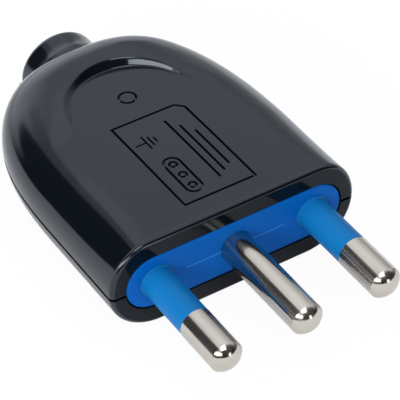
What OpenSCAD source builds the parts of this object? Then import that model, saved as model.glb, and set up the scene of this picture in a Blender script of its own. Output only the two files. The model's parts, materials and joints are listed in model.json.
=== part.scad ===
// Rewireable three-pin power plug with a two-part moulded case.
// Millimetres. X runs along the row of pins, the pins point along -Y and +Z is up.
// The origin is on the earth pin's axis, in the plane of the engagement face.

/* [Case] */
// Width of the case at the parting plane
case_w = 40.6; // [39:0.1:46]
// Length of the case behind the engagement face
case_l = 46.4; // [42:0.1:56]
// Height of the upper half at the front
upper_h = 7.6; // [7:0.1:9]
// How far the upper half rises towards the back
crown_rise = 0.8; // [0.2:0.1:1.6]
// Height of the lower half
lower_h = 7.8; // [7.6:0.1:9]
// Wall thickness
wall = 2; // [1.4:0.1:2.4]
// Length of the rounded tail in plan
tail_l = 30; // [22:0.5:34]
// Squareness of the tail in plan
tail_power = 2.65; // [2:0.05:3.2]
// Length over which the top falls to the back end
nape_l = 7.8; // [6:0.1:10]
// Squareness of that fall
nape_power = 2.3; // [2:0.05:3]
// Width of the upper shoulder at the front
shoulder_front = 6.3; // [5:0.1:8]
// How much the upper shoulder widens for each millimetre towards the back
shoulder_growth = 0.45; // [0.2:0.05:0.6]
// Squareness of the upper shoulder at the back
shoulder_power = 2.5; // [2:0.05:3]
// Width of the lower shoulder
lower_shoulder = 8; // [6:0.1:10]
// Rounding of the front edge
edge_r = 0.4; // [0.2:0.1:1]
// Height of the lip that locates the two halves
lip_h = 0.8; // [0.4:0.1:1.2]

/* [Thumb panel] */
// Distance from the engagement face to the foot of the panel's back wall
panel_l = 36.4; // [33:0.1:38]
// Radius of the back wall in plan
panel_r = 9.7; // [8:0.1:11]
// Half width of the panel where it runs out at the sides
panel_side = 15; // [12:0.1:17]
// Length over which the panel widens from its round back to its sides
panel_flare = 6; // [4:0.1:9]
// Height of the panel's plane at the engagement face
panel_front_z = 7.8; // [7.7:0.05:8.2]
// Height of the panel's plane at the foot of its back wall
panel_back_z = 7.3; // [6.8:0.05:7.5]
// Slant of the back wall
panel_draft = 30; // [10:1:40]
// Width of the engraved frame
frame_w = 12.1; // [8:0.1:14]
// Length of the engraved frame
frame_l = 20.2; // [14:0.1:22]
// Distance from the engagement face to the frame
frame_y = 3.7; // [3:0.1:6]
// Width of the engraved line
groove_w = 0.35; // [0.2:0.05:0.6]
// Depth of the engraved line
groove_d = 0.25; // [0.1:0.05:0.4]
// Cut corner of the frame
frame_chamfer = 1.3; // [0.5:0.1:2]

/* [Pins] */
// Diameter of the pins
pin_d = 5; // [4:0.1:5]
// Distance between neighbouring pins
pin_pitch = 13; // [12.5:0.1:13]
// Length of the pins in front of the engagement face
pin_l = 19; // [18:0.1:20]
// Length of the insulating sleeves in front of the engagement face
sleeve_l = 10; // [9:0.1:12]
// Diameter of the sleeves
sleeve_d = 4.9; // [3.9:0.1:5]
// Diameter of the pin inside its sleeve
neck_d = 3.6; // [3:0.1:3.8]
// Diameter of the pin's root, which the carrier grips
root_d = 5.4; // [5.1:0.1:5.8]
// Diameter of the terminal behind the root
terminal_d = 6.2; // [6:0.1:6.4]
// Length of the terminal
terminal_l = 11; // [9:0.5:12]
// Diameter of the hole for the wire
wire_d = 3.2; // [2.4:0.1:3.6]
// Depth of the hole for the wire
wire_depth = 7.5; // [6:0.1:9]

/* [Pin carrier] */
// Black rim left at each end of the carrier's face
face_rim = 2.5; // [2.3:0.1:3.2]
// Height of the carrier's face
face_h = 8.8; // [8.4:0.1:9.2]
// Depth of the carrier block
carrier_l = 9; // [8:0.1:11]
// Depth of the sockets that take the terminals
socket_l = 3; // [2:0.1:4]
// Width of the flange that the case holds
flange_w = 27; // [22:0.5:28]
// Height of the flange
flange_h = 10.7; // [10:0.1:10.8]
// Thickness of the flange
flange_t = 2.2; // [1.5:0.1:3]
// Thickness of the barriers between the terminals
barrier_t = 1.2; // [0.8:0.1:1.6]
// Length of the barriers
barrier_l = 8; // [5:0.5:10]

/* [Cord entry] */
// Diameter of the cord hole
cord_d = 8.2; // [6:0.1:9]
// Height of the cord's axis over that of the pins
cord_z = -1.1; // [-1.2:0.05:-0.6]
// Diameter of the guard at its base
guard_base_d = 13.1; // [12.4:0.1:13.3]
// Diameter of the guard at its end
guard_end_d = 12.9; // [12:0.1:13.1]
// Length of the guard behind the case
guard_l = 4.5; // [4:0.1:8]
// Rounding of the guard's end
guard_r = 1; // [0.5:0.1:1.6]
// How far the guard's base sits into the end of the case
guard_sink = 2.6; // [2.2:0.1:3]
// Diameter of the neck that passes through the case
guard_neck_d = 9.8; // [9.4:0.1:10.2]
// Diameter of the flange inside the case
guard_flange_d = 11.2; // [10.8:0.1:11.6]
// Thickness of the flange inside the case
guard_flange_t = 1.5; // [1:0.1:1.7]
// Thickness of the case wall between the guard's base and its flange
seat_t = 1.8; // [1.5:0.1:2]
// Length of the lower half's trough under the guard
trough_l = 3.2; // [2:0.1:3.6]
// Thickness of the trough
trough_t = 0.6; // [0.5:0.05:0.8]

/* [Cord clamp] */
// Distance from the clamp's middle to the back end of the case
clamp_back = 10.2; // [9.9:0.1:12]
// Distance between the clamp's screws
clamp_pitch = 17; // [16:0.1:18]
// Width of the clamp bar
clamp_w = 5; // [4:0.1:5.6]
// Thickness of the clamp bar
clamp_t = 2.2; // [1.6:0.1:2.6]
// Height of the clamp bar's underside
clamp_z = 1; // [0.5:0.1:1.6]
// Height of the grip ridges under the bar
ridge_h = 0.6; // [0.3:0.1:1]

/* [Screws] */
// Diameter of the terminal screws
terminal_screw_d = 3; // [2.5:0.1:3]
// Diameter of their heads
terminal_head_d = 4.2; // [3.6:0.1:4.4]
// Thickness of their heads
terminal_head_t = 1.2; // [1:0.1:1.3]
// Diameter of the clamp screws
clamp_screw_d = 2.6; // [2:0.1:2.8]
// Length of the clamp screws below their heads
clamp_screw_l = 6; // [5:0.5:7]
// Diameter of the clamp screws' heads
clamp_head_d = 4.6; // [4:0.1:5]
// Thickness of the clamp screws' heads
clamp_head_t = 1.5; // [1:0.1:1.8]
// Diameter of the case screws
case_screw_d = 3; // [2.5:0.1:3]
// Length of the case screws below their heads
case_screw_l = 9.2; // [8.5:0.1:9.6]
// Diameter of the case screws' heads
case_head_d = 5.4; // [4.8:0.1:5.6]
// Thickness of the case screws' heads
case_head_t = 1.9; // [1.5:0.1:2.2]
// How far the heads sit below the underside
head_sink = 1; // [0.5:0.1:1.4]
// Distance from the middle to each case screw
case_screw_x = 10; // [9.5:0.1:11]
// Distance from the cord clamp forward to the case screws
screw_ahead = 10.2; // [9:0.1:12]
// Width across the flats of the square case nuts
nut_w = 5.5; // [5:0.1:5.5]
// Thickness of the case nuts
nut_t = 1.8; // [1.5:0.1:2.4]
// Height of the case nuts' underside
nut_z = 1.6; // [1.2:0.1:2]
// Width of the screwdriver slots
slot_w = 0.7; // [0.5:0.1:1]
// Depth of the screwdriver slots
slot_d = 0.7; // [0.5:0.1:0.8]

/* [Fits] */
// Gap round the carrier's face
face_gap = 0.2; // [0.1:0.05:0.3]
// Gap round pieces that slot into the case
seat_gap = 0.1; // [0.05:0.05:0.2]
// Gap round pins, screws and sleeves in their holes
bore_gap = 0.05; // [0.03:0.01:0.1]

/* [Hidden] */
$fn = 48;

black = [0.06, 0.065, 0.07];
blue = [0.04, 0.33, 0.75];
nickel = [0.78, 0.76, 0.72];
steel = [0.66, 0.67, 0.69];

// How far a cutter reaches past a face
over = 1;
// Overlap that keeps two cut faces from lying in one plane
skim = 0.01;
// Moulded ribs and posts are thinner than the case wall
rib_t = 0.6 * wall;
tail_y = case_l - tail_l;
nape_y = case_l - nape_l;
pin_r = pin_d / 2;
root_l = carrier_l - socket_l;
terminal_end = root_l + terminal_l;
terminal_screw_y = terminal_end - wire_depth / 2;
terminal_head_z = terminal_d / 2 + seat_gap;
face_w = case_w - 2 * face_rim;
flange_y = wall + seat_gap;
barrier_x = pin_pitch / 2;
post_r = nut_w / 2 + rib_t;
head_z = head_sink + case_head_t - lower_h;
well_r = case_head_d / 2 + 2 * seat_gap;
guard_y = case_l - guard_sink;
guard_end_y = case_l + guard_l;
guard_flange_y = guard_y - seat_t - seat_gap - guard_flange_t;
guard_seat_r = guard_base_d / 2 + seat_gap;
trough_r = guard_seat_r + trough_t;
trough_end_y = case_l + trough_l;
block_r = guard_flange_d / 2 + rib_t;
clamp_y = case_l - clamp_back;
case_screw_y = clamp_y - screw_ahead;
clamp_post_r = clamp_screw_d / 2 + rib_t;
lip_y0 = carrier_l + wall;
lip_y1 = clamp_y - clamp_w;

// Outline and section of the case, both set in from the surface by t
function bulge(u, power) = pow(1 - pow(max(0, u), power), 1 / power);
function half_w(y, t) = (case_w / 2 - t) * bulge((y - tail_y) / (case_l - t - tail_y), tail_power);
function nape(y, t) = bulge((y - nape_y) / (case_l - t - nape_y), nape_power);
function upper_z(y, t) = (upper_h + crown_rise * sin(90 * min(1, y / nape_y)) - t) * nape(y, t);
function lower_z(y, t) = (lower_h - t) * nape(y, t);
function panel_z(y) = panel_front_z + (panel_back_z - panel_front_z) * y / panel_l;
function shoulder(y) = shoulder_front + shoulder_growth * y;
function squareness(y) = 2 + (shoulder_power - 2) * min(1, y / tail_y);
function front_round(y) = y < edge_r ? edge_r - sqrt(edge_r * edge_r - pow(edge_r - y, 2)) : 0;

// One half section from left to right: two shoulders of width a and squareness n, flat between them
arc_steps = 11;
// Largest share of the half width that one shoulder takes
shoulder_share = 0.97;
function arch(y, w, h, a, n) = [
    for (side = [-1, 1], i = [0:arc_steps])
        let (f = 90 * (side < 0 ? i : arc_steps - i) / arc_steps)
        [side * (w - a * (1 - pow(cos(f), 2 / n))), y, h * pow(sin(f), 2 / n)]
];
function upper_arch(y, t) = let (s = t + front_round(y), w = half_w(y, s))
    arch(y, w, upper_z(y, s), min(w * shoulder_share, shoulder(y) - t), squareness(y));
function lower_arch(y, t) = let (s = t + front_round(y), w = half_w(y, s))
    arch(y, w, lower_z(y, s), min(w * shoulder_share, lower_shoulder - t), 2);
// The space inside the upper half keeps the wall's thickness under the panel
function roof_arch(y) = [for (p = upper_arch(y, wall)) [p.x, p.y, min(p.z, panel_z(y) - wall)]];

// Stations along the case, closest together on the front edge and over the nape
edge_steps = 4;
straight_steps = 9;
curve_steps = 12;
// The last station stops just short of the end, where the section would shrink to a point
end_angle = 84;
knee_y = nape_y - tail_l / 4;
function stations(y0, y1) = concat(
    [for (i = [0:straight_steps - 1]) y0 + (knee_y - y0) * i / straight_steps],
    [for (i = [0:curve_steps]) knee_y + (y1 - knee_y) * sin(end_angle * i / curve_steps)]
);
edge_stations = [for (i = [0:edge_steps - 1]) edge_r * (1 - cos(90 * i / edge_steps))];
outer_stations = concat(edge_stations, stations(edge_r, case_l));
inner_stations = stations(wall, case_l - wall);

// Solid skinned over a row of sections that all have the same number of points
module skin(sections) {
    n = len(sections[0]);
    last = len(sections) - 1;
    sides = [
        for (s = [0:last - 1], i = [0:n - 1])
            let (a = s * n + i, b = s * n + (i + 1) % n)
            each [[a, b + n, b], [a, a + n, b + n]]
    ];
    front = [for (i = [0:n - 1]) i];
    back = [for (i = [n - 1:-1:0]) last * n + i];
    polyhedron([for (s = sections) each s], concat(sides, [front, back]), convexity = 6);
}

module upper_blank() {
    skin([for (y = outer_stations) upper_arch(y, 0)]);
}

module upper_space() {
    translate([0, 0, -skim]) skin([for (y = inner_stations) roof_arch(y)]);
}

// The lower half is drawn the right way up and turned over
module lower_blank() {
    mirror([0, 0, 1]) skin([for (y = outer_stations) lower_arch(y, 0)]);
}

module lower_space() {
    mirror([0, 0, 1]) translate([0, 0, -skim]) skin([for (y = inner_stations) lower_arch(y, wall)]);
}

// Cylinder along +Y from a start plane
module rod(r, y0, y1) {
    translate([0, y0, 0]) rotate([-90, 0, 0]) cylinder(r = r, h = y1 - y0);
}

// The same along the cord's axis
module cord_rod(r, y0, y1) {
    translate([0, 0, cord_z]) rod(r, y0, y1);
}

// Bar with round ends, standing in the X-Z plane
module stadium(w, h, y0, y1) {
    for (side = [-1, 1])
        translate([side * (w - h) / 2, 0, 0]) rod(h / 2, y0, y1);
    translate([-(w - h) / 2, y0, -h / 2]) cube([w - h, y1 - y0, h]);
}

module at_each(x, y) {
    for (side = [-1, 1])
        translate([side * x, y, 0]) children();
}

// Turned upright along the pin's own axis, with its free end along -Y
module along_pin(x) {
    translate([x, 0, 0]) rotate([90, 0, 0]) rotate_extrude() children();
}

// Everything above the sloping panel, up to its round back wall
module panel_cut() {
    slope = atan((panel_back_z - panel_front_z) / panel_l);
    depth = crown_rise + upper_h;
    centre_y = panel_l - panel_r;
    translate([0, 0, panel_front_z]) rotate([slope, 0, 0]) {
        translate([0, centre_y, 0])
            cylinder(r1 = panel_r, r2 = panel_r + depth * tan(panel_draft), h = depth);
        linear_extrude(depth)
            polygon([[-panel_r, centre_y], [-panel_side, centre_y - panel_flare], [-panel_side, -over],
                [panel_side, -over], [panel_side, centre_y - panel_flare], [panel_r, centre_y]]);
    }
}

// Engraved rectangle with one cut corner, on the panel's slope
module frame_cut() {
    slope = atan((panel_back_z - panel_front_z) / panel_l);
    outer = [frame_w, frame_l];
    translate([0, 0, panel_front_z]) rotate([slope, 0, 0])
        translate([0, frame_y + frame_l / 2, -groove_d]) linear_extrude(groove_d + over)
            difference() {
                frame_plan(outer, frame_chamfer);
                frame_plan(outer - 2 * [groove_w, groove_w], frame_chamfer);
            }
}

module frame_plan(size, cut) {
    x = size.x / 2;
    y = size.y / 2;
    polygon([[-x, -y], [x, -y], [x, y - cut], [x - cut, y], [-x, y]]);
}

// Openings for the carrier's face and flange, and seats for the guard's base, neck and flange
module case_openings() {
    stadium(face_w + 2 * face_gap, face_h + 2 * face_gap, -over, carrier_l + face_gap);
    translate([0, flange_y + flange_t / 2, 0])
        cube([flange_w, flange_t - 2 * skim, flange_h] + 2 * seat_gap * [1, 1, 1], center = true);
    cord_rod(guard_seat_r, guard_y, trough_end_y + over);
    cord_rod(guard_neck_d / 2 + seat_gap, guard_flange_y, case_l);
    cord_rod(guard_flange_d / 2 + seat_gap, guard_flange_y - seat_gap, guard_flange_y + guard_flange_t + seat_gap);
    cord_rod(cord_d / 2 + face_gap, clamp_y, guard_flange_y);
}

// Block at the back that holds the guard
module guard_block() {
    cord_rod(block_r, guard_flange_y - seat_gap - rib_t, case_l);
}

// Lower half of a sleeve round the guard, flush with the underside
module cord_trough() {
    intersection() {
        cord_rod(trough_r, guard_flange_y, trough_end_y);
        translate([-trough_r, guard_flange_y, -lower_h]) cube([2 * trough_r, case_l, lower_h]);
    }
}

// Room for the heads of the terminal and clamp screws
module head_wells() {
    for (i = [-1:1])
        translate([i * pin_pitch, terminal_screw_y, 0])
            cylinder(r = terminal_head_d / 2 + seat_gap, h = terminal_head_z + terminal_head_t + seat_gap);
    at_each(clamp_pitch / 2, clamp_y)
        cylinder(r = clamp_head_d / 2 + seat_gap, h = clamp_z + clamp_t + clamp_head_t + seat_gap);
}

// Ribs that stand behind the carrier's flange, on the side given by up
module flange_ribs(up, depth) {
    rib_z = face_h / 2 + face_gap;
    for (side = [-1, 1])
        translate([side * barrier_x - wall, flange_y + flange_t + seat_gap, up > 0 ? rib_z : -depth])
            cube([2 * wall, rib_t, depth - rib_z]);
}

// Band inside the parting plane that carries the locating lip
module lip_band(outer_t, inner_t, h, y0, y1) {
    ys = [for (i = [0:curve_steps]) y0 + (y1 - y0) * i / curve_steps];
    back = [for (i = [curve_steps:-1:0]) ys[i]];
    for (side = [-1, 1])
        linear_extrude(h) polygon(concat(
            [for (y = ys) [side * half_w(y, outer_t), y]],
            [for (y = back) [side * half_w(y, inner_t), y]]
        ));
}

// Upper half of the case: crowned shell with the recessed thumb panel
module upper_shell() {
    color(black) difference() {
        union() {
            difference() {
                upper_blank();
                upper_space();
            }
            intersection() {
                upper_blank();
                union() {
                    guard_block();
                    at_each(case_screw_x, case_screw_y) cylinder(r = post_r, h = 2 * upper_h);
                    flange_ribs(1, upper_h);
                }
            }
        }
        panel_cut();
        frame_cut();
        case_openings();
        head_wells();
        at_each(case_screw_x, case_screw_y) {
            translate([0, 0, -over]) cylinder(d = case_screw_d + 4 * bore_gap, h = case_screw_l + head_z + 2 * over);
            nut_slot();
        }
        translate([0, 0, -skim])
            lip_band(wall / 2 - seat_gap, wall + skim, lip_h + seat_gap, lip_y0 - seat_gap, lip_y1 + seat_gap);
    }
}

// Slot that takes a square nut from the side of its post
module nut_slot() {
    w = nut_w + 2 * seat_gap;
    for (turn = [0, 180])
        rotate(turn) translate([-w / 2, -w / 2, nut_z - seat_gap / 2])
            cube([post_r + w, w, nut_t + seat_gap]);
}

// Lower half of the case: flat underside with two screw wells, and a trough for the guard
module lower_shell() {
    color(black) difference() {
        union() {
            difference() {
                lower_blank();
                lower_space();
            }
            intersection() {
                lower_blank();
                union() {
                    guard_block();
                    at_each(case_screw_x, case_screw_y)
                        translate([0, 0, -lower_h]) cylinder(r = well_r + rib_t, h = lower_h);
                    at_each(clamp_pitch / 2, clamp_y)
                        translate([0, 0, -lower_h]) cylinder(r = clamp_post_r, h = lower_h);
                    flange_ribs(-1, lower_h);
                }
            }
            at_each(clamp_pitch / 2, clamp_y)
                translate([0, 0, -over]) cylinder(r = clamp_post_r, h = clamp_z + over);
            lip_band(wall / 2, wall, lip_h, lip_y0, lip_y1);
            cord_trough();
        }
        case_openings();
        at_each(case_screw_x, case_screw_y) {
            translate([0, 0, -lower_h - over]) cylinder(r = well_r, h = lower_h + over + head_z);
            translate([0, 0, -lower_h]) cylinder(d = case_screw_d + 4 * bore_gap, h = lower_h + over);
        }
        at_each(clamp_pitch / 2, clamp_y)
            translate([0, 0, clamp_z + clamp_t - clamp_screw_l - over / 2])
                cylinder(d = clamp_screw_d + 2 * bore_gap, h = clamp_screw_l + over);
    }
}

// Moulded block that closes the front and holds the three pins
module pin_carrier() {
    color(blue) difference() {
        union() {
            stadium(face_w, face_h, 0, carrier_l);
            translate([-flange_w / 2, flange_y, -flange_h / 2]) cube([flange_w, flange_t, flange_h]);
            for (side = [-1, 1])
                translate([side * barrier_x - barrier_t / 2, carrier_l - over, -face_h / 2])
                    cube([barrier_t, barrier_l + over, face_h]);
        }
        for (i = [-1:1])
            translate([i * pin_pitch, 0, 0]) {
                rod(root_d / 2 + bore_gap, -over, carrier_l + over);
                rod(terminal_d / 2 + bore_gap, root_l, carrier_l + over);
            }
    }
}

// Outline of a pin's free end, with its round tip
module tip_plan(from) {
    intersection() {
        union() {
            translate([0, pin_l - pin_r]) circle(r = pin_r);
            translate([0, from]) square([pin_r, pin_l - pin_r - from]);
        }
        translate([0, from]) square([pin_d, pin_l - from]);
    }
}

// Terminal behind the root: wire hole from the back, screw hole from above
module terminal_cut(x) {
    translate([x, 0, 0]) {
        rod(wire_d / 2, terminal_end - wire_depth, terminal_end + over);
        translate([0, terminal_screw_y, 0]) cylinder(d = terminal_screw_d + 2 * bore_gap, h = terminal_d);
    }
}

module sleeved_pin(x) {
    color(nickel) difference() {
        along_pin(x) {
            tip_plan(sleeve_l);
            translate([0, -root_l]) square([neck_d / 2, root_l + sleeve_l]);
            translate([0, -terminal_end]) square([terminal_d / 2, terminal_l]);
        }
        terminal_cut(x);
    }
}

module live_pin() {
    sleeved_pin(-pin_pitch);
}

module neutral_pin() {
    sleeved_pin(pin_pitch);
}

module earth_pin() {
    color(nickel) difference() {
        along_pin(0) {
            tip_plan(0);
            translate([0, -root_l]) square([root_d / 2, root_l]);
            translate([0, -terminal_end]) square([terminal_d / 2, terminal_l]);
        }
        terminal_cut(0);
    }
}

// Insulating tube over a line pin's neck, from its root to the bare end
module sleeve(x) {
    bore_r = neck_d / 2 + bore_gap;
    color(blue) along_pin(x) {
        translate([bore_r, 0]) square([sleeve_d / 2 - bore_r, sleeve_l]);
        translate([bore_r, -root_l]) square([root_d / 2 - bore_r, root_l]);
    }
}

module live_sleeve() {
    sleeve(-pin_pitch);
}

module neutral_sleeve() {
    sleeve(pin_pitch);
}

// Slotted screw, head upwards, with the underside of its head at z = 0
module slotted_screw(d, l, head_d, head_t) {
    difference() {
        union() {
            translate([0, 0, -l]) cylinder(d = d, h = l);
            cylinder(d = head_d, h = head_t);
        }
        translate([-head_d, -slot_w / 2, head_t - slot_d]) cube([2 * head_d, slot_w, slot_d + over]);
    }
}

module terminal_screws() {
    color(steel) for (i = [-1:1])
        translate([i * pin_pitch, terminal_screw_y, terminal_head_z])
            slotted_screw(terminal_screw_d, terminal_head_z, terminal_head_d, terminal_head_t);
}

// Flexible guard: flange and neck inside the case, round nozzle outside
module cord_guard() {
    color(black) translate([0, 0, cord_z]) rotate([-90, 0, 0]) rotate_extrude() difference() {
        union() {
            translate([0, guard_flange_y]) square([guard_flange_d / 2, guard_flange_t]);
            translate([0, guard_flange_y]) square([guard_neck_d / 2, guard_y - guard_flange_y]);
            polygon([[0, guard_y], [guard_base_d / 2, guard_y], [guard_end_d / 2, guard_end_y - guard_r],
                [guard_end_d / 2 - guard_r, guard_end_y], [0, guard_end_y]]);
            translate([guard_end_d / 2 - guard_r, guard_end_y - guard_r]) circle(r = guard_r);
        }
        translate([0, guard_flange_y - over]) square([cord_d / 2, guard_end_y]);
    }
}

// Bar that presses the cord down between the two posts
module cord_clamp() {
    color(black) difference() {
        union() {
            translate([0, clamp_y, clamp_z]) linear_extrude(clamp_t) {
                for (side = [-1, 1])
                    translate([side * clamp_pitch / 2, 0]) circle(d = clamp_w);
                square([clamp_pitch, clamp_w], center = true);
            }
            for (side = [-1, 1])
                translate([-cord_d / 2, clamp_y + side * clamp_w / 4 - ridge_h / 2, clamp_z - ridge_h])
                    cube([cord_d, ridge_h, clamp_t + ridge_h]);
        }
        at_each(clamp_pitch / 2, clamp_y)
            cylinder(d = clamp_screw_d + 2 * bore_gap, h = clamp_z + clamp_t + over);
    }
}

module clamp_screws() {
    color(steel) at_each(clamp_pitch / 2, clamp_y) translate([0, 0, clamp_z + clamp_t])
        slotted_screw(clamp_screw_d, clamp_screw_l, clamp_head_d, clamp_head_t);
}

module case_screws() {
    color(steel) at_each(case_screw_x, case_screw_y) translate([0, 0, head_z]) mirror([0, 0, 1])
        slotted_screw(case_screw_d, case_screw_l, case_head_d, case_head_t);
}

module case_nuts() {
    color(steel) at_each(case_screw_x, case_screw_y) translate([0, 0, nut_z]) difference() {
        translate([-nut_w / 2, -nut_w / 2, 0]) cube([nut_w, nut_w, nut_t]);
        translate([0, 0, -over]) cylinder(d = case_screw_d + 2 * bore_gap, h = nut_t + 2 * over);
    }
}

upper_shell();
lower_shell();
pin_carrier();
live_pin();
neutral_pin();
earth_pin();
live_sleeve();
neutral_sleeve();
terminal_screws();
cord_guard();
cord_clamp();
clamp_screws();
case_screws();
case_nuts();
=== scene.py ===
import json
import math

import bmesh
import bpy
from mathutils import Euler, Matrix, Vector


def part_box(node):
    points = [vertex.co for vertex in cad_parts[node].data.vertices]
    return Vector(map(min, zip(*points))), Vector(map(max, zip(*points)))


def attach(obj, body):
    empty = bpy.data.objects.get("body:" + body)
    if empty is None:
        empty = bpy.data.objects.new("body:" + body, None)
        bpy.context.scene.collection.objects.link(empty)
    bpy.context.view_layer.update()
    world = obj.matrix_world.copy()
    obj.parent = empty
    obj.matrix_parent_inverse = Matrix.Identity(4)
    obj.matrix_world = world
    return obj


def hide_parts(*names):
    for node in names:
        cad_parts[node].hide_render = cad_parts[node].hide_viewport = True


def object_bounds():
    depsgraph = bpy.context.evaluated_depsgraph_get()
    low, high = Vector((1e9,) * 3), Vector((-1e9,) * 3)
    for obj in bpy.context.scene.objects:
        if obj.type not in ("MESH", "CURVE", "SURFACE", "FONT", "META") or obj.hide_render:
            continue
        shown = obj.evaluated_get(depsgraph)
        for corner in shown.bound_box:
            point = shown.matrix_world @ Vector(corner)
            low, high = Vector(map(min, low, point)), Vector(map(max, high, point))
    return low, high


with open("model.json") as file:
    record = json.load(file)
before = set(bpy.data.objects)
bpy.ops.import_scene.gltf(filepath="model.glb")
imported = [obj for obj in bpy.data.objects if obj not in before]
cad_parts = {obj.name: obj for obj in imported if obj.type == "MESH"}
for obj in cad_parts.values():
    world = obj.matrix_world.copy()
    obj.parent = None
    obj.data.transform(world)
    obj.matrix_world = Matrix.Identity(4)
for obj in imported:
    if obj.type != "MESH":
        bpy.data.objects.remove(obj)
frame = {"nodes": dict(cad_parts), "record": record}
cad_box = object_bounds()

# Lengths are in millimetres and are brought to metres when a piece is finished
MM = 0.001


def box_mm(node):
    low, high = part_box(node)
    return low / MM, high / MM


# Case, outside
CASE_HALF_W = box_mm("upper_shell")[1].x
LOWER_H = -box_mm("lower_shell")[0].z
CASE_L = 46.4
UPPER_H = 7.6
CROWN_RISE = 0.8
CASE_WALL = 2.0
TAIL_L = 30.0
TAIL_POWER = 2.65
NAPE_L = 7.8
NAPE_POWER = 2.3
SHOULDER_FRONT = 6.3
SHOULDER_GROWTH = 0.45
SHOULDER_POWER = 2.5
SHOULDER_SHARE = 0.97
SHOULDER_SOFTNESS = 4.0
LOWER_SHOULDER = 8.0
TAIL_Y = CASE_L - TAIL_L
NAPE_Y = CASE_L - NAPE_L
FRONT_ROUND = 0.75
FRONT_FLAT = 0.05
FRONT_FACING = -0.99

# Shadow groove between the two halves, with a lip behind it
UPPER_EDGE = -0.2
LOWER_EDGE = -0.62
EDGE_ROUND = 0.14
LIP_INSET = 0.5
LIP_H = 1.5
LIP_TOP = UPPER_EDGE - 0.02

# Thumb panel and the curved wall behind it
PANEL_L = 36.4
PANEL_R = 9.5
PANEL_FRONT_Z = 7.8
PANEL_BACK_Z = 7.0
PANEL_CENTRE_Y = PANEL_L - PANEL_R
PANEL_SLOPE = math.atan((PANEL_BACK_Z - PANEL_FRONT_Z) / PANEL_L)
PANEL_FLARE = 3.6
PANEL_FLARE_Y = 30.0
PANEL_FLARE_L = 10.0
WALL_SLANT = math.radians(30)
WALL_SLANT_SIDE = math.radians(58)
# Each step of the wall's lean: the y of its foot where the step starts and ends, and its share of the whole
WALL_LEAN_LEFT = ((35.2, 33.2, 0.5), (33.2, 26.9, 0.5))
WALL_LEAN_RIGHT = ((30.0, 26.4, 1.0),)
WALL_END_Y = 25.6
WALL_FALL = 0.15
WALL_TOP_SOFTNESS = 0.15
LEAST_SOFTNESS = 1e-6
FOOT_SOFTNESS = 0.1
FOOT_SOFTNESS_SIDE = 0.5
RIM_SOFTNESS = 0.4
RIM_SOFTNESS_SIDE = 0.8

# Engraving on the panel: a frame, a pin row, an earth sign, plain bars and a ring
FRAME_W = 12.1
FRAME_L = 20.2
FRAME_Y = 3.7
FRAME_CORNER = 1.3
GROOVE_W = 0.4
GROOVE_D = 0.45
ROW_X = -2.6
ROW_Y = 9.6
ROW_L = 8.6
ROW_W = 2.9
ROW_PITCH = 2.6
ROW_HOLE_R = 0.75
EARTH_X = -3.2
EARTH_Y = 18.4
EARTH_W = 0.3
EARTH_LENGTHS = (3.2, 2.2, 1.2)
EARTH_STEP = 0.75
STEM_X = -4.1
STEM_L = 1.8
STEM_D = GROOVE_D * 0.9
BAR_X = 1.6
BAR_W = 0.4
BAR_STEP = 1.3
BAR_SPANS = ((13.8, 15.0), (13.2, 12.0), (12.6, 9.0))
RING_Y = 29.0
RING_R = 1.5

# Carrier, pins and guard
FACE_W = 35.6
FACE_H = 8.8
FACE_GAP = 0.22
FACE_ROUND = 0.18
CARRIER_L = 9.0
LINE_R = 0.09
LINE_L = 16.4
COLLAR_GAP = 0.03
COLLAR_T = 0.15
HOLE_GAP = 0.05
PIN_R = frame["record"]["mounts"][0]["dims"]["r_mm"]
PIN_TIP_Y = box_mm("earth_pin")[0].y
PIN_TIP_L = 1.4
PIN_CHAMFER = 0.06
PIN_PITCH = sum(corner.x for corner in box_mm("neutral_pin")) / 2
SLEEVE_END_Y = box_mm("live_sleeve")[0].y
TERMINAL_END_Y = box_mm("earth_pin")[1].y
SLEEVE_R = 2.45
SLEEVE_BORE_GAP = 0.05
SLEEVE_END_GAP = 0.02
SLEEVE_CHAMFER = 0.08
SLEEVE_FILLET = 0.12
SLEEVE_ROOT_Y = -0.01
NECK_R = 1.8
ROOT_R = 2.7
ROOT_L = 6.0
TERMINAL_R = box_mm("earth_pin")[1].x
CORD_R = 4.1
CORD_Z = sum(corner.z for corner in box_mm("cord_guard")) / 2
GUARD_FLANGE_Y = box_mm("cord_guard")[0].y
GUARD_END_Y = box_mm("cord_guard")[1].y
GUARD_Y = CASE_L - 2.6
GUARD_R = 6.45
GUARD_END_ROUND = 1.0
GUARD_FLANGE_R = 5.6
GUARD_FLANGE_T = 1.5
GUARD_NECK_R = 4.9
GUARD_BASE_GAP = 0.05
GUARD_FLARE_Y = CASE_L + 2.2
GUARD_FLARE_R = 13.3
GUARD_FLARE_ANGLE = 10
GUARD_MOUTH_ROUND = 0.3
SEAT_R = 6.72
SEAT_GAP = 0.1
TROUGH_R = 7.25
TROUGH_ROUND = 0.35
TROUGH_ROOT = 0.7
TROUGH_END_Y = box_mm("lower_shell")[1].y

# Screw wells in the underside
WELL_R = 2.9
CASE_SCREW_X = 10.0
CASE_SCREW_Y = 26.0
HEAD_SEAT_Z = -4.9

# Mesh density
SIDE_COLUMNS = 28
ARC_COLUMNS = 112
PANEL_ROWS = 6
WALL_ROWS = 26
SHOULDER_ROWS = 32
WALL_SPAN = 1.4
FLAT_BEFORE_FOOT = 0.2
TURNED_STEPS = 96
FRONT_STEPS = 6
EDGE_STEPS = 4
RING_STEPS = 40
LINE_STEPS = 16
PIN_TIP_STEPS = 20
FOOT_ROUNDS = 12
OUTLINE_ROUNDS = 50
SHARP = math.radians(28)
FLAT = math.radians(1)

# Points closer than MERGED or NEAR count as one, and tools reach on past what they cut
MERGED = 1e-4
NEAR = 1e-3
TOOL_REACH = 1.0


# Camera

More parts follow.
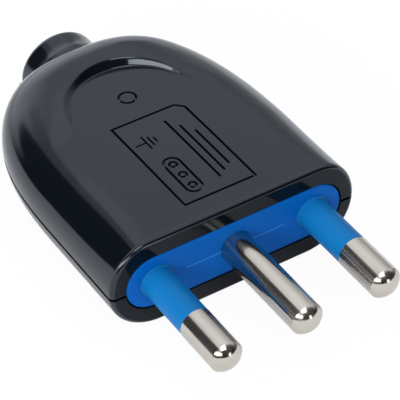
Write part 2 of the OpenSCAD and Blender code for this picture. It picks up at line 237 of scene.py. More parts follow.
CAMERA_AT = Vector((-124.10, -190.15, 208.17))
CAMERA_TURN = (48.679, 0.690, -32.494)
CAMERA_LENS = 197.73
CAMERA_SENSOR = 36


def make_camera():
    data = bpy.data.cameras.new("camera")
    data.lens = CAMERA_LENS
    data.sensor_width = CAMERA_SENSOR
    camera = bpy.data.objects.new("camera", data)
    camera.location = CAMERA_AT * MM
    camera.rotation_euler = Euler([math.radians(a) for a in CAMERA_TURN])
    bpy.context.scene.collection.objects.link(camera)
    bpy.context.scene.camera = camera


# Form of the case

def smooth_step(u):
    u = min(1.0, max(0.0, u))
    return u * u * (3 - 2 * u)


def soft_ramp(u, softness):
    """Zero below the ramp's start and u above it, with a round bend of the given half length between."""
    if abs(u) >= softness:
        return max(u, 0.0)
    return (u + softness) ** 2 / (4 * softness)


def smooth_min(a, b, softness):
    near = max(softness - abs(a - b), 0) / softness
    return min(a, b) - near * near * softness / 4


def bulge(u, power):
    return (1 - min(1.0, max(0.0, u)) ** power) ** (1 / power)


def half_width(y, inset):
    return (CASE_HALF_W - inset) * bulge((y - TAIL_Y) / (CASE_L - inset - TAIL_Y), TAIL_POWER)


def nape(y, inset):
    return bulge((y - NAPE_Y) / (CASE_L - inset - NAPE_Y), NAPE_POWER)


def arched(x, half, shoulder, power):
    """Share of the full height at x, on a section that is flat between two rounded shoulders."""
    share = 1 - (half - abs(x)) / shoulder if shoulder > 0 else 1.0
    return bulge(share, power)


def crown_height(x, y, inset):
    rise = CROWN_RISE * math.sin(math.pi / 2 * min(1, y / NAPE_Y))
    half = half_width(y, inset)
    grown = SHOULDER_FRONT + SHOULDER_GROWTH * y - inset
    shoulder = smooth_min(half * SHOULDER_SHARE, grown, SHOULDER_SOFTNESS)
    power = 2 + (SHOULDER_POWER - 2) * min(1, y / TAIL_Y)
    return (UPPER_H + rise - inset) * nape(y, inset) * arched(x, half, shoulder, power)


def panel_height(y):
    return PANEL_FRONT_Z + (PANEL_BACK_Z - PANEL_FRONT_Z) * y / PANEL_L


def between(start, end, share):
    return start + (end - start) * share


def wall_shape(foot_y, lean):
    """Slant, foot softness, rim softness and top of the panel's wall where its foot is at foot_y.

    The wall leans back towards the sides of the panel, and its top falls until it ends there.
    """
    share = 0.0
    for start, end, part in lean:
        share += part * min(1.0, max(0.0, (start - foot_y) / (start - end)))
    slant = between(WALL_SLANT, WALL_SLANT_SIDE, share)
    foot = between(FOOT_SOFTNESS, FOOT_SOFTNESS_SIDE, share)
    rim = between(RIM_SOFTNESS, RIM_SOFTNESS_SIDE, share)
    return slant, foot, rim, max(0.0, WALL_FALL * (foot_y - WALL_END_Y))


def upper_height(x, y, past_foot, wall, inset):
    """The crown, cut by the sloping panel and the slanted wall that rises past the panel's foot."""
    slant, foot_softness, rim_softness, top = wall
    rise = soft_ramp(past_foot, foot_softness) / math.tan(slant)
    rise = smooth_min(rise, top, min(top, WALL_TOP_SOFTNESS) + LEAST_SOFTNESS)
    return smooth_min(crown_height(x, y, inset), panel_height(y) - inset + rise, rim_softness)


def lower_height(x, y, past_foot, wall, inset):
    half = half_width(y, inset)
    shoulder = min(half * SHOULDER_SHARE, LOWER_SHOULDER - inset)
    return (LOWER_H - inset) * nape(y, inset) * arched(x, half, shoulder, 2)


def panel_reach(y):
    """Distance from the panel's middle to its foot, which widens towards the front."""
    return PANEL_R + PANEL_FLARE * smooth_step((PANEL_FLARE_Y - y) / PANEL_FLARE_L)


def outline_reach(start, heading, inset):
    """Distance from start to the edge of the case at the parting plane."""
    low, high = 0.0, 2 * CASE_L
    for _ in range(OUTLINE_ROUNDS):
        middle = (low + high) / 2
        x, y = start + heading * middle
        inside = y < CASE_L - inset and abs(x) < half_width(y, inset)
        low, high = (middle, high) if inside else (low, middle)
    return low


def case_line(i, front, inset):
    """Start, heading, panel reach, outline reach and wall shape of the i-th line across the case."""
    last = 2 * SIDE_COLUMNS + ARC_COLUMNS
    from_end = min(i, last - i)
    if from_end < SIDE_COLUMNS:
        y = front + (PANEL_CENTRE_Y - front) * from_end / SIDE_COLUMNS
        start = Vector((0, y))
        heading = Vector((-1 if i < last / 2 else 1, 0))
        foot = panel_reach(y)
    else:
        angle = math.pi * (1 - (i - SIDE_COLUMNS) / ARC_COLUMNS)
        start = Vector((0, PANEL_CENTRE_Y))
        heading = Vector((math.cos(angle), math.sin(angle)))
        foot = PANEL_R
        for _ in range(FOOT_ROUNDS):
            foot = panel_reach(start.y + heading.y * foot)
    foot_y = start.y + heading.y * foot
    wall = wall_shape(foot_y, WALL_LEAN_LEFT if heading.x < 0 else WALL_LEAN_RIGHT)
    return start, heading, foot + inset, outline_reach(start, heading, inset), wall


def row_reach(j, foot, outline, wall):
    """Distance along a line for the j-th row: panel, back wall, then shoulder."""
    wall_from = foot - wall[1] - FLAT_BEFORE_FOOT
    wall_to = foot + WALL_SPAN
    if j <= PANEL_ROWS:
        return wall_from * j / PANEL_ROWS
    j -= PANEL_ROWS
    if j <= WALL_ROWS:
        return between(wall_from, wall_to, j / WALL_ROWS)
    j -= WALL_ROWS
    return wall_to + (outline - wall_to) * math.sin(math.pi / 2 * j / SHOULDER_ROWS)


def case_solid(height, front, inset):
    """Drape a grid over one half of the case and close it; also return its front edges and parting face."""
    bm = bmesh.new()
    columns = 2 * SIDE_COLUMNS + ARC_COLUMNS
    rows = PANEL_ROWS + WALL_ROWS + SHOULDER_ROWS
    lines = [case_line(i, front, inset) for i in range(columns + 1)]
    bmesh.ops.create_grid(bm, x_segments=columns, y_segments=rows, size=0.5)
    fan = ARC_COLUMNS / columns / 2
    flat_to = (PANEL_ROWS - 1) / rows - 0.5
    middles = ((face, face.calc_center_median()) for face in bm.faces)
    flat = [face for face, middle in middles if abs(middle.x) < fan and middle.y < flat_to]
    for v in bm.verts:
        start, heading, foot, outline, wall = lines[round((v.co.x + 0.5) * columns)]
        row = round((v.co.y + 0.5) * rows)
        reach = row_reach(row, foot, outline, wall)
        x, y = start + heading * reach
        v.co = x, y, height(x, y, reach - foot, wall, inset) if row < rows else 0.0
    bmesh.ops.remove_doubles(bm, verts=bm.verts, dist=MERGED)
    bmesh.ops.dissolve_faces(bm, faces=[face for face in flat if face.is_valid], use_verts=True)
    rim = [e for e in bm.edges if e.is_boundary]
    arch = [e for e in rim if all(abs(v.co.y - front) < MERGED for v in e.verts)]
    ends = sorted((v for e in arch for v in e.verts if v.co.z < NEAR), key=lambda v: v.co.x)
    sill = bm.edges.new((ends[0], ends[-1]))
    bmesh.ops.edgeloop_fill(bm, edges=arch + [sill])
    base = bmesh.ops.edgeloop_fill(bm, edges=[e for e in rim if e not in arch] + [sill])["faces"]
    bmesh.ops.recalc_face_normals(bm, faces=bm.faces)
    return bm, arch, base


def drawn_down(bm, face, depth):
    """Carry a closed mesh on below its flat base."""
    made = bmesh.ops.extrude_face_region(bm, geom=[face])["geom"]
    moved = [g for g in made if isinstance(g, bmesh.types.BMVert)]
    bmesh.ops.translate(bm, verts=moved, vec=(0, 0, -depth))
    bmesh.ops.delete(bm, geom=[face], context="FACES_ONLY")
    bmesh.ops.recalc_face_normals(bm, faces=bm.faces)


def trimmed(bm, z, keep_above=True):
    """Cut a closed mesh flat at a height and return the new face."""
    bmesh.ops.bisect_plane(
        bm, geom=[*bm.verts, *bm.edges, *bm.faces], plane_co=(0, 0, z), plane_no=(0, 0, 1),
        clear_inner=keep_above, clear_outer=not keep_above,
    )
    cut = bmesh.ops.edgeloop_fill(bm, edges=[e for e in bm.edges if e.is_boundary])["faces"]
    bmesh.ops.recalc_face_normals(bm, faces=bm.faces)
    return cut[0]


def case_half(height, edge):
    """Solid half case down to its parting edge; that edge and the front one are rounded."""
    bm, arch, _ = case_solid(height, 0.0, 0.0)
    round_edges(bm, arch, FRONT_ROUND, FRONT_STEPS)
    drawn_down(bm, lowest_face(bm), TOOL_REACH)
    base = trimmed(bm, edge)
    round_edges(bm, list(base.edges), EDGE_ROUND, EDGE_STEPS)
    return bm


def case_lip(height, edge):
    """Band inside the shadow groove, filled solid."""
    bm, _, _ = case_solid(height, LIP_INSET, LIP_INSET)
    trimmed(bm, edge)
    trimmed(bm, edge + LIP_H, keep_above=False)
    return bm


def case_hollow(height):
    """The room inside a half case, carried on past the parting plane."""
    bm, _, base = case_solid(height, CASE_WALL, CASE_WALL)
    drawn_down(bm, base[0], TOOL_REACH)
    return bm


# Helpers for meshes

def round_edges(bm, edges, radius, segments):
    bmesh.ops.bevel(
        bm, geom=edges, offset=radius, offset_type="OFFSET", affect="EDGES",
        segments=segments, profile=0.5, material=-1, clamp_overlap=True,
    )


def arc_points(centre, radius, start, end, steps):
    """Points on an arc, with the angles in degrees."""
    angles = [math.radians(start + (end - start) * i / steps) for i in range(steps + 1)]
    return [(centre[0] + radius * math.cos(a), centre[1] + radius * math.sin(a)) for a in angles]


def lowest_face(bm):
    return min(bm.faces, key=lambda face: face.calc_center_median().z)


def turned(profile, x=0.0, z=0.0, closed=True):
    """Turn a profile of (radius, y) points about the line along Y at x and z."""
    bm = bmesh.new()
    verts = [bm.verts.new((x + r, y, z)) for r, y in profile]
    pairs = list(zip(verts, verts[1:])) + ([(verts[-1], verts[0])] if closed else [])
    edges = [bm.edges.new(pair) for pair in pairs]
    bmesh.ops.spin(
        bm, geom=verts + edges, cent=(x, 0, z), axis=(0, 1, 0), dvec=(0, 0, 0),
        angle=2 * math.pi, steps=TURNED_STEPS, use_merge=True, use_duplicate=False,
    )
    bmesh.ops.remove_doubles(bm, verts=bm.verts, dist=MERGED)
    bmesh.ops.recalc_face_normals(bm, faces=bm.faces)
    return bm


def cord_rod(radius, start, end):
    """Round bar on the cord's axis."""
    bm = bmesh.new()
    spot = Matrix.Translation((0, (start + end) / 2, CORD_Z)) @ Matrix.Rotation(math.pi / 2, 4, "X")
    bmesh.ops.create_cone(
        bm, cap_ends=True, segments=TURNED_STEPS, radius1=radius, radius2=radius,
        depth=end - start, matrix=spot,
    )
    return bm


def screw_well(x):
    """Round tool for the well of a case screw, from below the underside up to the seat of its head."""
    bm = bmesh.new()
    low, high = -LOWER_H - TOOL_REACH, HEAD_SEAT_Z
    spot = Matrix.Translation((x, CASE_SCREW_Y, (low + high) / 2))
    bmesh.ops.create_cone(
        bm, cap_ends=True, segments=TURNED_STEPS, radius1=WELL_R, radius2=WELL_R,
        depth=high - low, matrix=spot,
    )
    return bm


def raise_face(bm, depth):
    """Extrude the faces of a flat plan upwards by depth."""
    made = bmesh.ops.extrude_face_region(bm, geom=list(bm.faces))
    moved = [g for g in made["geom"] if isinstance(g, bmesh.types.BMVert)]
    bmesh.ops.translate(bm, verts=moved, vec=(0, 0, depth))
    bmesh.ops.recalc_face_normals(bm, faces=bm.faces)
    return bm


def stadium_plan(width, height):
    """Flat plan with round ends, its long side along X."""
    bm = bmesh.new()
    bmesh.ops.create_circle(
        bm, cap_ends=True, segments=TURNED_STEPS, radius=height / 2,
        matrix=Matrix.Rotation(math.pi / TURNED_STEPS, 4, "Z"),
    )
    for v in bm.verts:
        v.co.x += math.copysign((width - height) / 2, v.co.x)
    return bm


def stadium_bar(width, height, start, end):
    bm = raise_face(stadium_plan(width, height), end - start)
    bmesh.ops.rotate(bm, verts=bm.verts, matrix=Matrix.Rotation(math.pi / 2, 3, "X"))
    bmesh.ops.translate(bm, verts=bm.verts, vec=(0, end, 0))
    return bm


def temporary(bm):
    """Hold a mesh in an object of its own for a boolean step."""
    mesh = bpy.data.meshes.new("temporary")
    bm.to_mesh(mesh)
    bm.free()
    obj = bpy.data.objects.new("temporary", mesh)
    bpy.context.scene.collection.objects.link(obj)
    return obj


def combined(bm, others, operation):
    """Join other closed meshes to a closed mesh, or cut them from it, one after the other."""
    body = temporary(bm)
    others = [temporary(other) for other in others]
    for other in others:
        step = body.modifiers.new("step", "BOOLEAN")
        step.object = other
        step.operation = operation
        step.solver = "EXACT"
    result = bmesh.new()
    result.from_object(body, bpy.context.evaluated_depsgraph_get())
    for obj in [body, *others]:
        mesh = obj.data
        bpy.data.objects.remove(obj)
        bpy.data.meshes.remove(mesh)
    return result


def carved(bm, *tools):
    """Take the form of each tool away from a closed mesh."""
    return combined(bm, tools, "DIFFERENCE")


def joined(bm, *parts):
    return combined(bm, parts, "UNION")


def finished(bm, name, material, slot, *nodes):
    """Turn a mesh in millimetres into a piece that stands for its CAD nodes."""
    bmesh.ops.scale(bm, vec=(MM, MM, MM), verts=bm.verts)
    for face in bm.faces:
        face.smooth = True
    for edge in bm.edges:
        edge.smooth = edge.calc_face_angle(0) < SHARP
    mesh = bpy.data.meshes.new(name)
    bm.to_mesh(mesh)
    bm.free()
    mesh.materials.append(material)
    piece = bpy.data.objects.new(name, mesh)
    bpy.context.scene.collection.objects.link(piece)
    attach(piece, "root")
    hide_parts(*nodes)
    return piece


# Pieces

def on_panel(bm):
    """Lay an upright tool, drawn round z = 0, on the slope of the thumb panel."""
    lay = Matrix.Translation((0, 0, PANEL_FRONT_Z)) @ Matrix.Rotation(PANEL_SLOPE, 4, "X")
    bmesh.ops.transform(bm, matrix=lay, verts=bm.verts)
    return bm


def line_tool(bm):
    """Make a flat plan into the tool for an engraved line along its edge."""
    bmesh.ops.recalc_face_normals(bm, faces=bm.faces)
    plan = list(bm.faces)
    bmesh.ops.inset_region(bm, faces=plan, thickness=GROOVE_W, use_boundary=True, use_even_offset=True)
    bmesh.ops.delete(bm, geom=plan, context="FACES")
    bmesh.ops.translate(bm, verts=bm.verts, vec=(0, 0, -GROOVE_D))
    return on_panel(raise_face(bm, GROOVE_D + TOOL_REACH))


def frame_tool():
    bm = bmesh.new()
    x, back = FRAME_W / 2, FRAME_Y + FRAME_L
    corners = [(-x, FRAME_Y), (x, FRAME_Y), (x, back - FRAME_CORNER), (x - FRAME_CORNER, back), (-x, back)]
    bm.faces.new([bm.verts.new((*corner, 0)) for corner in corners])
    return line_tool(bm)


def ring_tool(x, y, radius):
    bm = bmesh.new()
    bmesh.ops.create_circle(
        bm, cap_ends=True, segments=RING_STEPS, radius=radius, matrix=Matrix.Translation((x, y, 0)),
    )
    return line_tool(bm)


def row_tool():
    bm = stadium_plan(ROW_L, ROW_W)
    bmesh.ops.rotate(bm, verts=bm.verts, matrix=Matrix.Rotation(math.pi / 2, 3, "Z"))
    bmesh.ops.translate(bm, verts=bm.verts, vec=(ROW_X, ROW_Y, 0))
    return line_tool(bm)


def bar_tool(x, y, width, length, depth=GROOVE_D):
    bm = bmesh.new()
    size = Matrix.Diagonal((width, length, depth + TOOL_REACH, 1))
    spot = Matrix.Translation((x, y, (TOOL_REACH - depth) / 2))
    bmesh.ops.create_cube(bm, size=1, matrix=spot @ size)
    return on_panel(bm)


def engraving():
    """Framed pictogram of the pin row, an earth sign, plain bars and a ring."""
    tools = [frame_tool(), row_tool()]
    tools += [ring_tool(ROW_X, ROW_Y + ROW_PITCH * i, ROW_HOLE_R) for i in (-1, 0, 1)]
    for i, length in enumerate(EARTH_LENGTHS):
        tools.append(bar_tool(EARTH_X + EARTH_STEP * i, EARTH_Y, EARTH_W, length))
    tools.append(bar_tool(STEM_X, EARTH_Y, STEM_L, EARTH_W, STEM_D))
    for i, (y, length) in enumerate(BAR_SPANS):
        tools.append(bar_tool(BAR_X + BAR_STEP * i, y, BAR_W, length))
    tools.append(ring_tool(0.0, RING_Y, RING_R))
    return tools


def carrier_pocket():
    return stadium_bar(FACE_W + 2 * FACE_GAP, FACE_H + 2 * FACE_GAP, -TOOL_REACH, CARRIER_L + FACE_GAP)


def guard_seats():
    flange_end = GUARD_FLANGE_Y + GUARD_FLANGE_T
    return [
        cord_rod(SEAT_R, GUARD_Y, TROUGH_END_Y + TOOL_REACH),
        cord_rod(GUARD_NECK_R + SEAT_GAP, GUARD_FLANGE_Y, CASE_L),
        cord_rod(GUARD_FLANGE_R + SEAT_GAP, GUARD_FLANGE_Y - SEAT_GAP, flange_end + SEAT_GAP),
    ]


def guard_trough():
    """Half sleeve under the guard, flush with the underside."""
    bm = cord_rod(TROUGH_R, GUARD_Y - TROUGH_ROOT, TROUGH_END_Y)
    trimmed(bm, -LOWER_H)
    trimmed(bm, LOWER_EDGE, keep_above=False)
    end = [e for e in bm.edges if all(abs(v.co.y - TROUGH_END_Y) < MERGED for v in e.verts)]
    round_edges(bm, end, TROUGH_ROUND, EDGE_STEPS)
    return bm


def darken_front_reflection(piece, material):
    """Give the flat front of a half case a copy of the black plastic with a weaker reflection: painted shade
    for the shadowed floor that the front mirrors.
    """
    piece.data.materials.append(material)
    # Flat front faces take the second material, painted shade that weakens their reflection
    for face in piece.data.polygons:
        if face.normal.y < FRONT_FACING and abs(face.center.y) < FRONT_FLAT * MM:
            face.material_index = 1


def make_upper_half(material, front_shade_material):
    bm = case_half(upper_height, UPPER_EDGE)
    bm = carved(bm, case_hollow(upper_height), carrier_pocket(), *guard_seats(), *engraving())
    darken_front_reflection(finished(bm, "upper_half", material, "case_black", "upper_shell"), front_shade_material)


def make_lower_half(material, front_shade_material):
    bm = joined(case_half(lower_height, -LOWER_EDGE), case_lip(lower_height, -LIP_TOP))
    bm = carved(bm, case_hollow(lower_height))
    bmesh.ops.scale(bm, vec=(1, 1, -1), verts=bm.verts)
    bmesh.ops.reverse_faces(bm, faces=bm.faces)
    bm = joined(bm, guard_trough())
    wells = [screw_well(side * CASE_SCREW_X) for side in (-1, 1)]
    bm = carved(bm, carrier_pocket(), *guard_seats(), *wells)
    darken_front_reflection(finished(bm, "lower_half", material, "case_black", "lower_shell"), front_shade_material)


def make_front_block(material, line_highlight_material):
    """The CAD carrier with a rounded front edge, a fine raised line across its face in a lighter blue that is
    a painted highlight, and a collar at the bare pin.
    """
    bm = bmesh.new()
    bm.from_mesh(frame["nodes"]["pin_carrier"].data)
    bmesh.ops.scale(bm, vec=(1 / MM, 1 / MM, 1 / MM), verts=bm.verts)
    bmesh.ops.remove_doubles(bm, verts=bm.verts, dist=NEAR)
    bmesh.ops.dissolve_limit(bm, angle_limit=FLAT, verts=bm.verts, edges=bm.edges)
    hole = ROOT_R + 2 * HOLE_GAP
    rim = []
    for edge in bm.edges:
        front = all(abs(v.co.y) < NEAR for v in edge.verts)
        middle = (edge.verts[0].co + edge.verts[1].co) / 2
        clear = all(math.hypot(middle.x - i * PIN_PITCH, middle.z) > hole for i in (-1, 0, 1))
        if front and clear and edge.calc_face_angle(0) > SHARP:
            rim.append(edge)
    round_edges(bm, rim, FACE_ROUND, EDGE_STEPS)
    line = bmesh.ops.create_cone(
        bm, cap_ends=True, segments=LINE_STEPS, radius1=LINE_R, radius2=LINE_R, depth=LINE_L,
        matrix=Matrix.Rotation(math.pi / 2, 4, "Y"),
    )["verts"]
    # The line's faces take the lighter blue: a painted highlight along its top
    for face in {face for v in line for face in v.link_faces}:
        face.material_index = 1
    inner, outer = PIN_R + COLLAR_GAP, ROOT_R + HOLE_GAP
    collar = turned([(inner, 0.0), (outer, 0.0), (outer, COLLAR_T), (inner, COLLAR_T)])
    mesh = bpy.data.meshes.new("temporary")
    collar.to_mesh(mesh)
    collar.free()
    bm.from_mesh(mesh)
    bpy.data.meshes.remove(mesh)
    piece = finished(bm, "front_block", material, "carrier_blue", "pin_carrier")
    piece.data.materials.append(line_highlight_material)


def pin_tip():
    """Blunt round end that meets the shank at a crease."""
    radius = (PIN_R ** 2 + PIN_TIP_L ** 2) / (2 * PIN_TIP_L)
    reach = math.degrees(math.asin(PIN_R / radius))
    return arc_points((0, PIN_TIP_Y + radius), radius, -90, reach - 90, PIN_TIP_STEPS)


def terminal_profile(root):
    return [(root, ROOT_L), (TERMINAL_R, ROOT_L), (TERMINAL_R, TERMINAL_END_Y), (0, TERMINAL_END_Y)]


def make_earth_pin(material):
    step = ROOT_R - PIN_R
    bm = turned(pin_tip() + [(PIN_R, step), (ROOT_R, 2 * step)] + terminal_profile(ROOT_R), closed=False)
    finished(bm, "bare_pin", material, "pin_nickel", "earth_pin")


def make_line_pin(material, side, name, node):
    end = SLEEVE_END_Y
    shoulder = [(PIN_R, end - PIN_CHAMFER), (PIN_R - PIN_CHAMFER, end), (NECK_R, end)]
    bm = turned(pin_tip() + shoulder + terminal_profile(NECK_R), side * PIN_PITCH, closed=False)
    finished(bm, name, material, "pin_nickel", node)


def make_sleeve(material, side, name, node):
    bore = NECK_R + SLEEVE_BORE_GAP
    end = SLEEVE_END_Y + SLEEVE_END_GAP
    profile = [(bore, end), (SLEEVE_R - SLEEVE_CHAMFER, end), (SLEEVE_R, end + SLEEVE_CHAMFER)]
    bend = (SLEEVE_R + SLEEVE_FILLET, SLEEVE_ROOT_Y - SLEEVE_FILLET)
    profile += arc_points(bend, SLEEVE_FILLET, 180, 90, steps=8)
    profile += [(ROOT_R, SLEEVE_ROOT_Y), (ROOT_R, ROOT_L), (bore, ROOT_L)]
    finished(turned(profile, side * PIN_PITCH), name, material, "sleeve_blue", node)


def make_guard(material):
    """Round nozzle that flares a little where it meets the case, with a neck and flange inside."""
    flange_end = GUARD_FLANGE_Y + GUARD_FLANGE_T
    base = GUARD_Y + GUARD_BASE_GAP
    profile = [(CORD_R, GUARD_FLANGE_Y), (GUARD_FLANGE_R, GUARD_FLANGE_Y), (GUARD_FLANGE_R, flange_end)]
    profile += [(GUARD_NECK_R, flange_end), (GUARD_NECK_R, base)]
    flare_centre = (GUARD_R + GUARD_FLARE_R, GUARD_FLARE_Y)
    flare = arc_points(flare_centre, GUARD_FLARE_R, 180 + GUARD_FLARE_ANGLE, 180, steps=8)
    profile += [(flare[0][0], base)] + flare
    rim_centre = (GUARD_R - GUARD_END_ROUND, GUARD_END_Y - GUARD_END_ROUND)
    profile += arc_points(rim_centre, GUARD_END_ROUND, 0, 90, steps=10)
    mouth_centre = (CORD_R + GUARD_MOUTH_ROUND, GUARD_END_Y - GUARD_MOUTH_ROUND)
    profile += arc_points(mouth_centre, GUARD_MOUTH_ROUND, 90, 180, steps=4)
    finished(turned(profile, z=CORD_Z), "nozzle", material, "guard_black", "cord_guard")


# Finishes

# Patterns in the finishes: how many features there are to a metre, and their height in metres
TONE_DRIFT = 90
GLOSS_DRIFT = 260
SKIN_GRAIN = 1400
SKIN_HEIGHT = 0.00002
PLATE_TONE = 220
PLATE_GLOSS = 900
PLATE_MARKS = 2500
PLATE_MARK_HEIGHT = 0.00001
PLATE_MARK_STRENGTH = 0.12


def new_finish(name):
    material = bpy.data.materials.new(name)
    material.use_nodes = True
    nodes, links = material.node_tree.nodes, material.node_tree.links
    return material, nodes, links, nodes["Principled BSDF"]


def noise(nodes, links, scale, detail=3.0, stretch=(1, 1, 1)):
    """Noise that follows the piece, with features of about 1 / scale metres."""
    place = nodes.new("ShaderNodeTexCoord")
    mapping = nodes.new("ShaderNodeMapping")
    texture = nodes.new("ShaderNodeTexNoise")
    mapping.inputs["Scale"].default_value = stretch
    texture.inputs["Scale"].default_value = scale
    texture.inputs["Detail"].default_value = detail
    links.new(place.outputs["Object"], mapping.inputs["Vector"])
    links.new(mapping.outputs["Vector"], texture.inputs["Vector"])
    return texture.outputs["Fac"]


def spread(nodes, links, value, low, high):
    """Map a noise value to a range of roughness."""
    ranged = nodes.new("ShaderNodeMapRange")
    ranged.inputs["From Min"].default_value = 0.3
    ranged.inputs["From Max"].default_value = 0.7
    ranged.inputs["To Min"].default_value = low
    ranged.inputs["To Max"].default_value = high
    links.new(value, ranged.inputs["Value"])
    return ranged.outputs["Result"]


def tinted(nodes, links, value, dark, light):
    """Mix two close colours by a noise value."""
    mix = nodes.new("ShaderNodeMix")
    mix.data_type = "RGBA"
    mix.inputs["A"].default_value = (*dark, 1)
    mix.inputs["B"].default_value = (*light, 1)
    links.new(value, mix.inputs["Factor"])
    return mix.outputs["Result"]


def bumped(nodes, links, shader, value, height, strength):
    bump = nodes.new("ShaderNodeBump")
    bump.inputs["Distance"].default_value = height
    bump.inputs["Strength"].default_value = strength
    links.new(value, bump.inputs["Height"])
    links.new(bump.outputs["Normal"], shader.inputs["Normal"])


def moulded_plastic(name, colours, roughness, grain, shine=0.5, tint=(1, 1, 1)):
    """Moulded plastic: slight colour drift, uneven gloss and a faint orange-peel skin."""
    material, nodes, links, shader = new_finish(name)
    shader.inputs["Specular IOR Level"].default_value = shine
    shader.inputs["Specular Tint"].default_value = (*tint, 1)
    tone = noise(nodes, links, TONE_DRIFT)
    gloss = noise(nodes, links, GLOSS_DRIFT, detail=5)
    skin = noise(nodes, links, SKIN_GRAIN, detail=2)
    links.new(tinted(nodes, links, tone, *colours), shader.inputs["Base Color"])
    links.new(spread(nodes, links, gloss, *roughness), shader.inputs["Roughness"])
    bumped(nodes, links, shader, skin, SKIN_HEIGHT, grain)
    return material


def plated_metal(name, colours, roughness, stretch):
    """Plated metal with fine marks drawn out along one way."""
    material, nodes, links, shader = new_finish(name)
    shader.inputs["Metallic"].default_value = 1.0
    tone = noise(nodes, links, PLATE_TONE, detail=4)
    gloss = noise(nodes, links, PLATE_GLOSS, detail=6, stretch=stretch)
    marks = noise(nodes, links, PLATE_MARKS, detail=4, stretch=stretch)
    links.new(tinted(nodes, links, tone, *colours), shader.inputs["Base Color"])
    links.new(spread(nodes, links, gloss, *roughness), shader.inputs["Roughness"])
    bumped(nodes, links, shader, marks, PLATE_MARK_HEIGHT, PLATE_MARK_STRENGTH)
    return material


INNER_FINISHES = {
    "terminal_screws": "steel",
    "clamp_screws": "steel",
    "case_screws": "steel",
    "case_nuts": "steel",
    "cord_clamp": "clamp",
}


def make_finishes():
    cool = (0.84, 0.91, 1.0)
    case_black = (0.0014, 0.0026, 0.0042), (0.002, 0.0036, 0.006)
    guard_black = (0.0018, 0.003, 0.0045), (0.0025, 0.004, 0.0065)
    clamp_black = (0.02, 0.02, 0.021), (0.03, 0.03, 0.032)
    carrier_blue = (0.0012, 0.091, 0.375), (0.0016, 0.103, 0.42)
    # Lighter blue for the raised line on the carrier: a painted highlight along its top
    line_blue_painted_highlight = (0.012, 0.15, 0.49), (0.018, 0.18, 0.54)
    sleeve_blue = (0.0026, 0.129, 0.355), (0.0034, 0.148, 0.4)
    nickel = (0.5, 0.46, 0.4), (0.62, 0.57, 0.5)
    steel = (0.48, 0.48, 0.49), (0.62, 0.62, 0.62)
    gloss, satin = (0.08, 0.12), (0.1, 0.15)
    return {
        "case": moulded_plastic("black_gloss_plastic", case_black, gloss, grain=0.06, shine=0.6, tint=cool),
        # The same black plastic with a weaker reflection for the flat front: painted shade for the dark floor
        # mirrored there
        "front": moulded_plastic("black_plastic_painted_front_shade", case_black, gloss, grain=0.06, shine=0.2, tint=cool),
        "guard": moulded_plastic("black_satin_rubber", guard_black, satin, grain=0.2, shine=0.6, tint=cool),
        "clamp": moulded_plastic("black_matt_plastic", clamp_black, (0.4, 0.55), grain=0.4),
        "carrier": moulded_plastic("blue_plastic", carrier_blue, (0.28, 0.38), grain=0.1, shine=0.05),
        "line": moulded_plastic("blue_line_painted_highlight", line_blue_painted_highlight, (0.3, 0.4), grain=0.1, shine=0.3),
        "sleeve": moulded_plastic("blue_sleeve", sleeve_blue, (0.36, 0.46), grain=0.2, shine=0.12),
        "nickel": plated_metal("polished_nickel", nickel, (0.1, 0.2), stretch=(1, 0.1, 1)),
        "steel": plated_metal("zinc_steel", steel, (0.22, 0.36), stretch=(1, 1, 0.3)),
    }


# Studio

# Each patch: azimuth and elevation of its middle, angles from there to its end and its full part, strength
SKY_PATCHES = (
    (((0, 90), 88, 50), 0.88),
    (((0, 90), 50, 45), 1.12),
    (((2, 14), 38, 4), 1.65),
    (((55, 0), 60, 32), 0.54),
    (((29, 2), 19, 8), 1.15),
    (((-76, 5), 30, 10), 1.7),
)
# Each gap: the same, with the share of the light that it takes away
SKY_GAPS = (
    (((-36, 29), 18, 14.5), 0.97),
    (((-45, 10), 14, 11), 0.97),
    (((-16, 41), 11, 4), 0.45),
    (((165, 10), 55, 38), 0.92),
    (((-118, 46), 20, 10), 0.85),
)
SKY_LEAST = 0.03
SKY_COLOUR = (0.94, 0.98, 1.05, 1)

FLOOR_COLOUR = (0.88, 0.88, 0.88, 1)
FLOOR_HALF_W = 4.0
FLOOR_GAP = 0.02 * MM
FLOOR_GLOW = {"Is Camera Ray": 0.95, "Is Glossy Ray": 0.1, "Is Transmission Ray": 0.1}

# Each lamp: azimuth, elevation, width and height in metres, watts and whether glossy surfaces mirror it
LAMP_DISTANCE = 0.6
LAMPS = {
    "key": (-118, 24, 0.82, 0.147, 2.16, True),
    "fill": (-118, 20, 0.82, 0.23, 1.24, False),
    "strip": (163, 3, 0.09, 0.22, 0.24, True),
    "top": (-171, 53, 0.29, 0.29, 0.75, True),
}


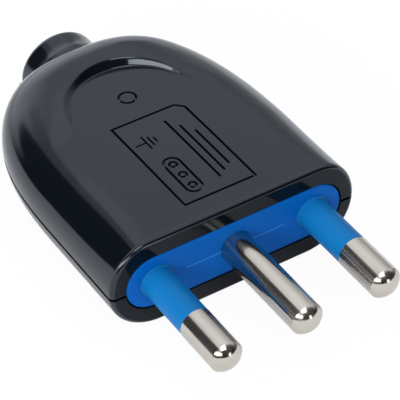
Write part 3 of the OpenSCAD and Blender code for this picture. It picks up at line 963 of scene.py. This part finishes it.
def make_floor():
    """Pale floor that shows white round the object and keeps its shadow; from below it is clear."""
    mesh = bpy.data.meshes.new("floor")
    bm = bmesh.new()
    bmesh.ops.create_grid(bm, x_segments=1, y_segments=1, size=FLOOR_HALF_W)
    bmesh.ops.translate(bm, verts=bm.verts, vec=(0, 0, cad_box[0].z - FLOOR_GAP))
    bm.to_mesh(mesh)
    bm.free()
    floor = bpy.data.objects.new("floor", mesh)
    bpy.context.scene.collection.objects.link(floor)
    material, nodes, links, shader = new_finish("pale_floor")
    shader.inputs["Base Color"].default_value = FLOOR_COLOUR
    shader.inputs["Roughness"].default_value = 0.9
    shader.inputs["Specular IOR Level"].default_value = 0.0
    path = nodes.new("ShaderNodeLightPath")
    glow = nodes.new("ShaderNodeEmission")
    lit = nodes.new("ShaderNodeMixShader")
    links.new(light_share(nodes, links, path), lit.inputs["Fac"])
    links.new(shader.outputs["BSDF"], lit.inputs[1])
    links.new(glow.outputs["Emission"], lit.inputs[2])
    geometry = nodes.new("ShaderNodeNewGeometry")
    clear = nodes.new("ShaderNodeBsdfTransparent")
    sided = nodes.new("ShaderNodeMixShader")
    links.new(geometry.outputs["Backfacing"], sided.inputs["Fac"])
    links.new(lit.outputs["Shader"], sided.inputs[1])
    links.new(clear.outputs["BSDF"], sided.inputs[2])
    links.new(sided.outputs["Shader"], nodes["Material Output"].inputs["Surface"])
    mesh.materials.append(material)


def light_share(nodes, links, path):
    """How much of the floor glows white: most of it to the camera, part of it in reflections."""
    shares = []
    for ray, amount in FLOOR_GLOW.items():
        share = nodes.new("ShaderNodeMath")
        share.operation = "MULTIPLY"
        share.inputs[1].default_value = amount
        links.new(path.outputs[ray], share.inputs[0])
        shares.append(share.outputs[0])
    most = shares[0]
    for other in shares[1:]:
        most = joined_values(nodes, links, "MAXIMUM", most, other)
    return most


def make_lamp(name, at, width, height, watts, mirrored):
    """Soft rectangular lamp that faces the object."""
    data = bpy.data.lights.new(name, "AREA")
    data.shape = "RECTANGLE"
    data.size = width
    data.size_y = height
    data.energy = watts
    lamp = bpy.data.objects.new(name, data)
    lamp.location = at
    lamp.rotation_euler = at.to_track_quat("Z", "Y").to_euler()
    lamp.visible_camera = False
    lamp.visible_glossy = mirrored
    bpy.context.scene.collection.objects.link(lamp)


def sky_direction(azimuth, elevation):
    """Azimuth 0 is behind the object and 90 is on its right."""
    a, e = math.radians(azimuth), math.radians(elevation)
    return math.sin(a) * math.cos(e), math.cos(a) * math.cos(e), math.sin(e)


def sky_patch(nodes, links, place, patch, outside, inside):
    """Value that runs softly from one level outside a round patch of the sky to another inside it."""
    towards, outer, inner = patch
    aim = nodes.new("ShaderNodeVectorMath")
    aim.operation = "DOT_PRODUCT"
    aim.inputs[1].default_value = sky_direction(*towards)
    fade = nodes.new("ShaderNodeMapRange")
    fade.interpolation_type = "SMOOTHSTEP"
    fade.inputs["From Min"].default_value = math.cos(math.radians(outer))
    fade.inputs["From Max"].default_value = math.cos(math.radians(inner))
    fade.inputs["To Min"].default_value = outside
    fade.inputs["To Max"].default_value = inside
    links.new(place.outputs["Generated"], aim.inputs[0])
    links.new(aim.outputs["Value"], fade.inputs["Value"])
    return fade.outputs["Result"]


def joined_values(nodes, links, operation, first, second):
    step = nodes.new("ShaderNodeMath")
    step.operation = operation
    links.new(first, step.inputs[0])
    links.new(second, step.inputs[1])
    return step.outputs[0]


def make_sky():
    """Studio sky: bright soft patches, with dark gaps between them."""
    world = bpy.data.worlds.new("studio")
    world.use_nodes = True
    nodes, links = world.node_tree.nodes, world.node_tree.links
    place = nodes.new("ShaderNodeTexCoord")
    sky = None
    for patch, strength in SKY_PATCHES:
        glow = sky_patch(nodes, links, place, patch, 0.0, strength)
        sky = joined_values(nodes, links, "MAXIMUM", sky, glow) if sky else glow
    for gap, depth in SKY_GAPS:
        shade = sky_patch(nodes, links, place, gap, 1.0, 1 - depth)
        sky = joined_values(nodes, links, "MULTIPLY", sky, shade)
    level = nodes.new("ShaderNodeMath")
    level.operation = "ADD"
    level.inputs[1].default_value = SKY_LEAST
    links.new(sky, level.inputs[0])
    background = nodes["Background"]
    background.inputs["Color"].default_value = SKY_COLOUR
    links.new(level.outputs[0], background.inputs["Strength"])
    bpy.context.scene.world = world


def make_light():
    make_sky()
    for name, (azimuth, elevation, width, height, watts, mirrored) in LAMPS.items():
        at = Vector(sky_direction(azimuth, elevation)) * LAMP_DISTANCE
        make_lamp(name, at, width, height, watts, mirrored)


def make_scene():
    make_camera()
    finishes = make_finishes()
    make_upper_half(finishes["case"], finishes["front"])
    make_lower_half(finishes["case"], finishes["front"])
    make_front_block(finishes["carrier"], finishes["line"])
    make_earth_pin(finishes["nickel"])
    for side, name in ((-1, "live"), (1, "neutral")):
        make_line_pin(finishes["nickel"], side, f"{name}_contact", f"{name}_pin")
        make_sleeve(finishes["sleeve"], side, f"{name}_tube", f"{name}_sleeve")
    make_guard(finishes["guard"])
    for node, finish in INNER_FINISHES.items():
        mesh = frame["nodes"][node].data
        mesh.materials.clear()
        mesh.materials.append(finishes[finish])
    make_floor()
    make_light()
    bpy.context.scene.view_settings.view_transform = "Standard"


make_scene()
